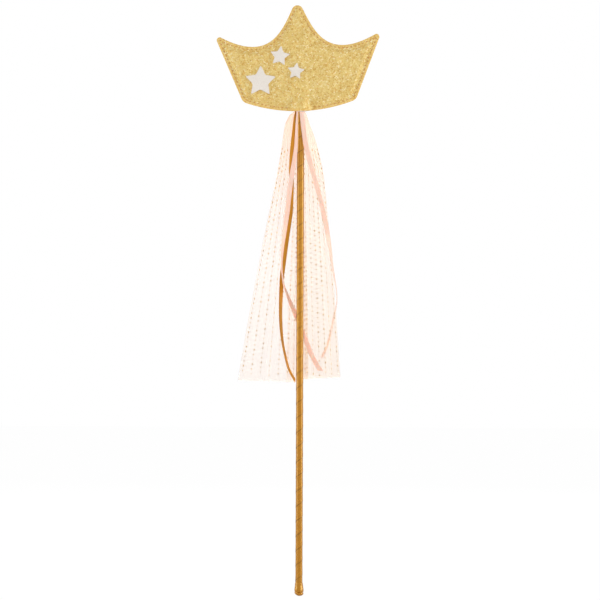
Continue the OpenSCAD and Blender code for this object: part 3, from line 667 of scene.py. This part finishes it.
fold_grid = butt_fold()
fold_rows, fold_cols = fold_grid.shape[:2]
fold_uv = np.stack(np.broadcast_arrays(
    np.linspace(-fold_uv_half_w, fold_uv_half_w, fold_cols),
    np.linspace(fold_uv_l, 0, fold_rows)[:, None]), -1).reshape(-1, 2)
butt = make_piece("butt_ribbon_fold", tube(fold_grid[::-1]), wound_satin, fold_uv, crease=180)
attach(butt, "wand")
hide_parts("butt_fold")

# %% [markdown]
# The crown is two layers of glitter fabric over thin felt, sewn round its edge. The outline is a
# few Bezier curves, the same as the solids'. A panel's height over the crown's middle plane comes
# from the distance to the edge: flat at the sewn rim, then rising onto the felt, with a ridge over
# the stick, a groove along the seam and small puckers between the stitches.

# %% Crown outline
crown_z, crown_h, crown_shift, crown_lean = 369.5, 80.6, -0.8, np.radians(1.5)
tip_half_w, tip_angle, tip_pull, tip_round_share = 3.85, np.radians(25.7), 20.3, 0.4
side_tip_x, side_tip_z, side_angle, side_pull = 64.3, 60.5, np.radians(31.6), 48.5
side_round, side_round_share = 6.7, 0.32
base_half_w, base_arc_r, base_round = 43.1, 122.0, 3.0
panel_t, rim_w, rise_w, plateau = 1.0, 3.4, 3.0, 1.3
stitch_inset, stitch_pitch = 2.2, 3.1
tip_s, corner_s = 0.12, 0.94

base_corner = np.array([base_half_w, base_arc_r - np.sqrt(base_arc_r**2 - base_half_w**2)])
side_corner = np.array([side_tip_x, side_tip_z])
side_up = unit(side_corner - base_corner)
arc_end = np.arcsin(base_half_w / base_arc_r) - base_round / base_arc_r
tip_rise = tip_half_w / np.tan(tip_angle)
tip_start = np.array([tip_half_w, crown_h - 3 / 4 * tip_round_share * tip_rise])
tip_sharp = tip_start + [-tip_half_w, tip_rise]
tip_handle = tip_start + tip_pull * np.array([np.sin(tip_angle), -np.cos(tip_angle)])
side_handle = side_corner - side_pull * np.array([np.cos(side_angle), np.sin(side_angle)])


def bezier(points, t):
    """A Bezier curve by repeated straight mixes of its points."""
    rows = [np.asarray(p, float) for p in points]
    t = np.asarray(t, float)[..., None]
    while len(rows) > 1:
        rows = [mix(a, b, t) for a, b in zip(rows, rows[1:])]
    return np.broadcast_to(rows[0], (*t.shape[:-1], 2))


def rounded(a, corner, b, share, t):
    """A cubic from a to b whose handles lie a share of the way to the sharp corner."""
    return bezier([a, mix(np.asarray(a), corner, share), mix(np.asarray(b), corner, share), b], t)


def scallop(t):
    """The hollow edge from the middle tip to a side tip, stopped short of the sharp corner."""
    reach = 1 - side_round / (3 * side_pull)
    return bezier([tip_start, tip_handle, side_handle, side_corner], np.asarray(t) * reach)


def mirrored(edge, s):
    """An edge of the right half, with x turned to the left where s is below 0."""
    return edge * np.stack([np.where(s < 0, -1.0, 1.0), np.ones_like(s)], -1)


def upper_edge(s):
    """The upper edge for s from -1 to 1: a rounded middle tip up to tip_s, a hollow scallop, and a
    rounded side tip from corner_s."""
    a = np.abs(s)
    tip_t = (1 + np.minimum(a, tip_s) / tip_s) / 2
    tip = rounded(tip_start * [-1, 1], tip_sharp, tip_start, tip_round_share, tip_t)
    hollow = scallop(np.clip((a - tip_s) / (corner_s - tip_s), 0, 1))
    side_t = np.clip((a - corner_s) / (1 - corner_s), 0, 1)
    side_end = side_corner - side_round * side_up
    side = rounded(scallop(1.0), side_corner, side_end, side_round_share, side_t)
    edge = np.where((a < tip_s)[..., None], tip, np.where((a < corner_s)[..., None], hollow, side))
    return mirrored(edge, s)


def lower_edge(s):
    """The lower edge for s from -1 to 1: a circular arc, with rounded ends from corner_s."""
    a = np.abs(s)
    arc_a = arc_end * np.clip(a / corner_s, 0, 1)
    arc = base_arc_r * np.stack([np.sin(arc_a), 1 - np.cos(arc_a)], -1)
    last = base_arc_r * np.array([np.sin(arc_end), 1 - np.cos(arc_end)])
    end_t = np.clip((a - corner_s) / (1 - corner_s), 0, 1)
    end = bezier([last, base_corner, base_corner + base_round * side_up], end_t)
    return mirrored(np.where((a < corner_s)[..., None], arc, end), s)


edge_s = np.linspace(-1, 1, 161)
right_end = np.array([1.0])
side_edge = mix(lower_edge(right_end), upper_edge(right_end), np.linspace(0, 1, 25)[1:-1, None])
outline = np.concatenate([lower_edge(edge_s), side_edge, upper_edge(-edge_s), side_edge[::-1] * [-1, 1]])
outline_next = np.roll(outline, -1, axis=0)
outline_run = outline_next - outline
outline_len = np.linalg.norm(outline_run, axis=1)
outline_along = np.concatenate([[0], np.cumsum(outline_len)[:-1]])


def edge_distance(p):
    """Least distance from each point to the outline's segments, and how far along the outline that
    is."""
    flat = p.reshape(-1, 1, 2)
    t = ((flat - outline) * outline_run).sum(-1) / np.maximum(outline_len, 1e-9) ** 2
    t = np.clip(t, 0, 1)
    d = np.linalg.norm(flat - outline - t[..., None] * outline_run, axis=-1)
    at = d.argmin(1)
    rows = np.arange(len(at))
    along = outline_along[at] + t[rows, at] * outline_len[at]
    return d[rows, at].reshape(p.shape[:-1]), along.reshape(p.shape[:-1])


# %% Crown panels
mouth_half_w, mouth_half_h, ridge_half_w, ridge_half_h = 9.0, 4.51, 13.0, 3.16
mouth_depth, mouth_fade, slot_top, ridge_fade = 7.4, 3.6, 21.0, 15.0
panel_gap, groove_depth, groove_w = 0.05, 0.18, 0.75
rim_drop, rim_drop_w = 0.35, 0.9


def stick_at(v):
    """Place of the stick across the crown at a height, in the crown's own leaning frame."""
    return -crown_shift + v * np.tan(crown_lean)


def ridge(p):
    """The raised fabric over the stick: half a cosine across, fading out above the dowel."""
    u, v = p[..., 0], p[..., 1]
    up = smooth((v - mouth_depth) / mouth_fade)
    height = mix(mouth_half_h, ridge_half_h, up) * smooth((slot_top + ridge_fade - v) / ridge_fade)
    width = mix(mouth_half_w, ridge_half_w, smooth(v / slot_top))
    return height * (1 + np.cos(np.pi * np.clip(np.abs(u - stick_at(v)) / width, 0, 1))) / 2


def panel_height(p, side):
    """Outer height of a panel: rim, rise onto the felt, ridge, seam groove, puckers and a slow
    unevenness. The groove and the puckers are bells of the distance to the edge."""
    d, along = edge_distance(p)
    u, v = p[..., 0], p[..., 1]
    inner = panel_gap + np.maximum(plateau * smooth((d - rim_w) / rise_w), ridge(p))
    at_mouth = smooth((13 - np.abs(u - stick_at(v))) / 3) * smooth((9 - v) / 3)
    pinch = 0.8 + 0.2 * np.cos(2 * np.pi * along / stitch_pitch)
    groove = groove_depth * bell(d, stitch_inset, groove_w) * pinch
    pucker = 0.1 * np.sin(2 * np.pi * along / 6.2 + side) * bell(d, 4.6, 1.9)
    pucker = pucker + 0.06 * np.sin(2 * np.pi * along / 10.7 + 2 * side) * bell(d, 6.5, 3.0)
    slow = 0.16 * np.sin(0.13 * u + 0.09 * v + side) * np.sin(0.1 * u - 0.16 * v + 1.3)
    round_off = rim_drop * (1 - smooth(d / rim_drop_w))
    seam = (pucker - groove) * (1 - at_mouth)
    return inner + panel_t + seam + slow * smooth((d - 4) / 6) - round_off, inner, d


def to_wand(u, y, v):
    """From the crown's leaning frame to the wand's: a turn by the lean and a move to the stick's top."""
    x = u * np.cos(crown_lean) - v * np.sin(crown_lean) + crown_shift
    z = u * np.sin(crown_lean) + v * np.cos(crown_lean) + crown_z
    return np.stack(np.broadcast_arrays(x, y, z), -1)


def packed(q, share):
    """Even steps from -1 to 1, drawn towards both ends by a sine."""
    return mix(q, np.sin(np.pi / 2 * q), share)


panel_s = packed(np.linspace(-1, 1, 281), 0.7)
panel_v = (packed(np.linspace(-1, 1, 105), 0.5) + 1) / 2
panel_plan = mix(lower_edge(panel_s)[None], upper_edge(panel_s)[None], panel_v[:, None, None])


def crown_panel(name, side, material):
    """A panel on one side of the crown: side is -1 for the front and 1 for the back."""
    outer, inner, d = panel_height(panel_plan, side)
    u, v = panel_plan[..., 0], panel_plan[..., 1]
    out, within = to_wand(u, side * outer, v), to_wand(u, side * inner, v)
    shell = (out, within) if side < 0 else (out[:, ::-1], within[:, ::-1])
    edge = d if side < 0 else d[:, ::-1]
    values = {"edge_mm": np.tile(edge.ravel(), 2)}
    return make_piece(name, walls(*shell), material, values=values, crease=50)


# %% [markdown]
# Glitter fabric is a cloth with fine foil grains glued to it. Each grain lies at its own angle, so
# some flash and some look dark. Grains of 0.2 to 0.4 mm are drawn 0.8 mm wide, the least that the
# picture shows. A Voronoi pattern gives every grain its colour and its tilt: the tilt gives real
# flashes, and the spread of grain colours from dark gold to pale cream paints flash and shade on
# top of the foil's tone. Near the cut edge, where the needle and the scissors have rubbed it, the
# cloth is more orange.

# %% Glitter fabric
foil_mm, foil_patch_mm, foil_tilt = 0.8, 5.0, 0.35


def glitter_fabric(name):
    """Grains from a Voronoi pattern: colour and tilt from the cell's random colour, bump from its
    distance. The spread of grain colours paints flash and shade as well as the foil's tone. The tilt
    is added to the surface's normal."""
    material, tree, shader = new_material(name)
    place = node(tree, "ShaderNodeTexCoord").outputs["Object"]
    grain = node(tree, "ShaderNodeTexVoronoi", {"Vector": place, "Scale": 1 / (foil_mm * MM)})
    patch = node(tree, "ShaderNodeTexNoise", {
        "Vector": place, "Scale": 1 / (foil_patch_mm * MM), "Detail": 3.0}).outputs["Fac"]
    chance = node(tree, "ShaderNodeSeparateColor", {0: grain.outputs["Color"]})
    # Grain colours from dark gold to pale cream are painted flash and shade of grains at different angles.
    foil_tone_flash_and_shade = node(tree, "ShaderNodeValToRGB", {"Fac": chance}, stops=[
        (0.0, "#C9A255"), (0.15, "#DEB468"), (0.3, "#DCC073"), (0.65, "#E3C97F"), (0.9, "#E8D292"),
        (1.0, "#F1E4B9")])
    tone = node(tree, "ShaderNodeValToRGB", {"Fac": patch}, stops=[(0.3, "#F2ECE2"), (0.7, "#FFFFFF")])
    toned = node(tree, "ShaderNodeMix", {0: 1.0, 6: foil_tone_flash_and_shade, 7: tone}, data_type="RGBA", blend_type="MULTIPLY")
    edge = node(tree, "ShaderNodeAttribute", attribute_name="edge_mm").outputs["Fac"]
    rubbed = node(tree, "ShaderNodeMapRange", {
        "Value": edge, "From Min": 0.1, "From Max": 2.9, "To Min": 0.4, "To Max": 0.0,
    }, interpolation_type="SMOOTHSTEP")
    colour = node(tree, "ShaderNodeMix", {
        0: rubbed, 6: toned.outputs[2], 7: linear("#E2B25C")}, data_type="RGBA")
    normal = node(tree, "ShaderNodeNewGeometry").outputs["Normal"]
    tilt = node(tree, "ShaderNodeVectorMath", {
        0: grain.outputs["Color"], 1: (0.5, 0.5, 0.5)}, operation="SUBTRACT")
    tilt = node(tree, "ShaderNodeVectorMath", {
        0: tilt, 1: (foil_tilt, foil_tilt, foil_tilt), 2: normal}, operation="MULTIPLY_ADD")
    tilt = node(tree, "ShaderNodeVectorMath", {0: tilt}, operation="NORMALIZE")
    bump = node(tree, "ShaderNodeBump", {
        "Height": grain.outputs["Distance"], "Strength": 0.3, "Distance": 0.2 * MM, "Normal": tilt})
    rough = node(tree, "ShaderNodeMapRange", {"Value": chance, "To Min": 0.75, "To Max": 0.5})
    node(tree, None, {
        "Base Color": colour.outputs[2], "Roughness": rough, "Specular IOR Level": 0.15, "Normal": bump,
    }, made=shader)
    return material


gold_glitter = glitter_fabric("glitter_fabric_gold")
for name, cad_node, side in (
    ("crown_front", "crown_front_panel", -1),
    ("crown_back", "crown_back_panel", 1),
):
    made = crown_panel(name, side, gold_glitter)
    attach(made, "wand")
    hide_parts(cad_node)

# %% [markdown]
# The seam is a lockstitch in brown-gold thread, about eight stitches to the inch. A stitch is a
# short arch of thread that dips into the fabric at both ends. All stitches are one mesh: a grain of
# a few dozen faces, carried to every place along the seam by broadcasting.

# %% Stitching
stitch_half_l, stitch_half_w, stitch_half_t = 0.85, 0.28, 0.2
stitch_end, stitch_dip, stitch_lift = 1.35, 0.28, 0.14


def plain_cloth(name, dark, light, grain_mm, roughness, depth_mm):
    """A matt fibre surface: noise of one grain size for colour and bump."""
    material, tree, shader = new_material(name)
    place = node(tree, "ShaderNodeTexCoord").outputs["Object"]
    fibre = node(tree, "ShaderNodeTexNoise", {
        "Vector": place, "Scale": 1 / (grain_mm * MM), "Detail": 4.0, "Roughness": 0.65}).outputs["Fac"]
    colour = node(tree, "ShaderNodeValToRGB", {"Fac": fibre}, stops=[(0.3, dark), (0.7, light)])
    bump = node(tree, "ShaderNodeBump", {"Height": fibre, "Strength": 0.5, "Distance": depth_mm * MM})
    rough = node(tree, "ShaderNodeMapRange", {
        "Value": fibre, "To Min": roughness - 0.1, "To Max": roughness + 0.1})
    node(tree, None, {
        "Base Color": colour, "Roughness": rough, "Normal": bump, "Sheen Weight": 0.2}, made=shader)
    return material


brown_thread = plain_cloth("polyester_thread_gold", "#B06A24", "#CE8A3E", 0.5, 0.55, 0.05)
in_normal = np.stack([-outline_run[:, 1], outline_run[:, 0]], -1) / np.maximum(outline_len, 1e-9)[:, None]
seam = outline + stitch_inset * in_normal
seam = seam[edge_distance(seam)[0] > 0.97 * stitch_inset]
seam_run = np.roll(seam, -1, axis=0) - seam
seam_len = np.linalg.norm(seam_run, axis=1)
seam_at = np.concatenate([[0], np.cumsum(seam_len)[:-1]])
stitch_count = int(seam_len.sum() / stitch_pitch)
stitch_mid = np.arange(stitch_count) * seam_len.sum() / stitch_count
which = np.searchsorted(seam_at, stitch_mid, side="right") - 1
stitch_dir = unit(seam_run[which])
stitch_place = seam[which] + stitch_dir * (stitch_mid - seam_at[which])[:, None]
from_stick = np.abs(stitch_place[:, 0] - stick_at(0))
clear = (stitch_place[:, 1] > mouth_depth) | (from_stick > mouth_half_w + stitch_pitch / 2)
stitch_dir, stitch_place = stitch_dir[clear], stitch_place[clear]


def stitches(name, side, material):
    """Grains of thread: a half length times sin(a) along, the section an ellipse that shrinks as the
    root of cos(a), dipping at both ends as a^2."""
    a = np.linspace(-stitch_end, stitch_end, 7)[:, None]
    b = 2 * np.pi * np.arange(6) / 6
    along = np.broadcast_to(stitch_half_l * np.sin(a), (7, 6))
    aside = stitch_half_w * np.cos(a) ** 0.5 * np.cos(b)
    up = stitch_half_t * np.cos(a) ** 0.5 * np.sin(b) - stitch_dip * (a / stitch_end) ** 2
    base = panel_height(stitch_place, side)[0][:, None, None]
    across = np.stack([-stitch_dir[:, 1], stitch_dir[:, 0]], -1)
    plan = stitch_place[:, None, None] + stitch_dir[:, None, None] * along[..., None]
    plan = plan + across[:, None, None] * aside[..., None]
    rings = to_wand(plan[..., 0], side * (base + stitch_lift + up), plan[..., 1])
    if side > 0:
        rings = rings[:, :, ::-1]
    return make_piece(name, many_tubes(rings), material, crease=180)


for name, cad_node, side in (("seam_front", "top_stitching", -1), ("seam_back", "bobbin_stitching", 1)):
    made = stitches(name, side, brown_thread)
    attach(made, "wand")
    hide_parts(cad_node)

# %% [markdown]
# The stars are cut from cream coated felt, 0.8 mm thick, and glued on. A star's edge runs in
# straight lines between five points and five inner corners. Rings of that outline run from the
# middle out, over a slightly rounded edge and down to the fabric.

# %% Stars
cream_felt = plain_cloth("coated_felt_cream", "#D8CFC4", "#E4DDD4", 0.6, 0.5, 0.03)
star_t, star_waist, star_soft = 0.8, 0.5, 0.7
star_lift, star_sag = 0.15, 0.4


def star(name, place, radius, turn, material):
    """Rings of the star's outline scaled from 0 to 1, then a rounded edge: in by 1 - sin(b), down by
    1 - cos(b), and straight down to the fabric."""
    corner = np.arange(11)
    a = np.pi / 2 - np.pi / 5 * corner + np.radians(turn)
    r = np.where(corner % 2 == 0, 1.0, star_waist)
    points = np.stack([r * np.cos(a), r * np.sin(a)], -1)
    t = (np.arange(8) / 8)[:, None]
    edge = mix(points[:-1, None], points[1:, None], t).reshape(-1, 2)[::-1]
    soft = mix(edge, (np.roll(edge, 1, 0) + np.roll(edge, -1, 0)) / 2, star_soft)
    b = np.linspace(0, np.pi / 2, 5)[1:]
    scale = np.concatenate([np.linspace(0.02, 0.96, 12), 1 - 0.04 * (1 - np.sin(b)), [1.0, 1.0]])
    drop = np.concatenate([np.zeros(12), 0.25 * (1 - np.cos(b)), [0.5, star_t + 0.1]])[:, None]
    place = np.asarray(place)
    plan = place + radius * scale[:, None, None] * soft
    base = np.maximum(panel_height(plan, -1)[0], panel_height(place, -1)[0] - star_sag)
    grid = to_wand(plan[..., 0], -(base + star_t + star_lift - drop), plan[..., 1])
    return make_piece(name, tube(grid), material, crease=50)


for name, cad_node, place, radius, turn in (
    ("star_large", "large_star", (-29.3, 23.2), 12.3, -2),
    ("star_upper", "upper_star", (-14.2, 42.1), 8.0, -9),
    ("star_lower", "lower_star", (-2.2, 30.2), 6.9, -8),
):
    made = star(name, place, radius, turn, cream_felt)
    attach(made, "wand")
    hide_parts(cad_node)

# %% [markdown]
# Inside the crown's mouth the streamers' tops are gathered round the stick and bound with white
# thread. From below one sees the pleated ends. The gather is a ring whose radius ripples round the
# stick, and the thread is a round profile carried along a helix.

# %% Gathered tops and binding
pink_gather = plain_cloth("tulle_gathered", "#FBE6D6", "#FFF3EA", 0.5, 0.7, 0.08)
white_thread = plain_cloth("cotton_thread_white", "#DDD6C8", "#F2EEE6", 0.35, 0.7, 0.05)
tops_low, tops_high, waist_z = 369.1, 375.5, 372.3
tops_r, tops_inner_r, waist_depth = 3.98, 2.96, 0.55
bind_r, bind_thread_r, bind_turns = 3.66, 0.21, 5
bind_low, bind_pitch = 371.3, 0.4


def gathered_tops():
    """A ring wall: the outer radius draws in at the waist as a bell, with pleats as sines of the
    angle that are flatter there."""
    z = np.linspace(tops_low, tops_high, 25)[:, None]
    angle = np.linspace(0, 2 * np.pi, 145)[:-1]
    waist = bell(z, waist_z, 1.5)
    pleats = (0.16 * np.sin(17 * angle) + 0.1 * np.sin(11 * angle + 1)) * (1 - 0.7 * waist)
    outer = tops_r - waist_depth * waist + pleats
    inner = np.full_like(outer, tops_inner_r)
    radius = np.concatenate([outer, inner[::-1], outer[:1]])
    height = np.concatenate([z, z[::-1], z[:1]])
    grid = np.stack(np.broadcast_arrays(radius * np.cos(angle), radius * np.sin(angle), height), -1)
    rows, cols = grid.shape[:2]
    faces = quads(rows, cols, closed=True)
    last = (rows - 1) * cols
    return grid[:-1].reshape(-1, 3), np.where(faces >= last, faces - last, faces).tolist()


def binding():
    """A round thread carried along a helix about the stick, five turns close together."""
    t = np.linspace(0, bind_turns, 241)
    angle = 2 * np.pi * t
    path = np.column_stack([bind_r * np.cos(angle), bind_r * np.sin(angle), bind_low + bind_pitch * t])
    run = unit(np.gradient(path, axis=0))
    out = unit(path * [1, 1, 0])
    side = np.cross(run, out)
    a = (2 * np.pi * np.arange(10) / 10)[:, None]
    return path[:, None] + bind_thread_r * (out[:, None] * np.cos(a) + side[:, None] * np.sin(a))


for name, shape, material, cad_node, slot in (
    ("gathered_tops", gathered_tops(), pink_gather, "streamer_heads", "pink_net"),
    ("binding_thread", tube(binding()), white_thread, "tie_thread", "white_thread"),
):
    made = make_piece(name, shape, material, crease=180)
    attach(made, "wand")
    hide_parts(cad_node)

# %% [markdown]
# The dowel, the felt and the glue are out of sight but real. Their solids stay, with the finish of
# birch, needle felt and hot-melt glue.

# %% Hidden pieces
birch_grain_w, birch_grain_l = 0.6, 20.0


def birch(name):
    """Straight pale grain along the stick: noise stretched along Z."""
    material, tree, shader = new_material(name)
    place = node(tree, "ShaderNodeTexCoord").outputs["Object"]
    across, along = 1 / (birch_grain_w * MM), 1 / (birch_grain_l * MM)
    stretch = node(tree, "ShaderNodeMapping", {"Vector": place, "Scale": (across, across, along)})
    grain = node(tree, "ShaderNodeTexNoise", {
        "Vector": stretch, "Scale": 1.0, "Detail": 5.0}).outputs["Fac"]
    colour = node(tree, "ShaderNodeValToRGB", {"Fac": grain}, stops=[(0.3, "#C9A672"), (0.7, "#E0C596")])
    bump = node(tree, "ShaderNodeBump", {"Height": grain, "Strength": 0.3, "Distance": 0.05 * MM})
    node(tree, None, {"Base Color": colour, "Roughness": 0.6, "Normal": bump}, made=shader)
    return material


for cad_node, material in (
    ("dowel", birch("birch_dowel")),
    ("crown_padding", plain_cloth("needle_felt_white", "#E4DFD4", "#F6F3EC", 0.7, 0.9, 0.1)),
    ("crown_glue", plain_cloth("hot_melt_glue", "#E3D2A4", "#F1E6C6", 2.0, 0.35, 0.05)),
):
    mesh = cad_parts[cad_node].data
    mesh.materials.clear()
    mesh.materials.append(material)
    print(f"{cad_node}: {material.name}")

# %% Size and finish
size = {"cad": cad_box, "visual": [[float(x) for x in corner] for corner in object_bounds()]}
print("size:", size)
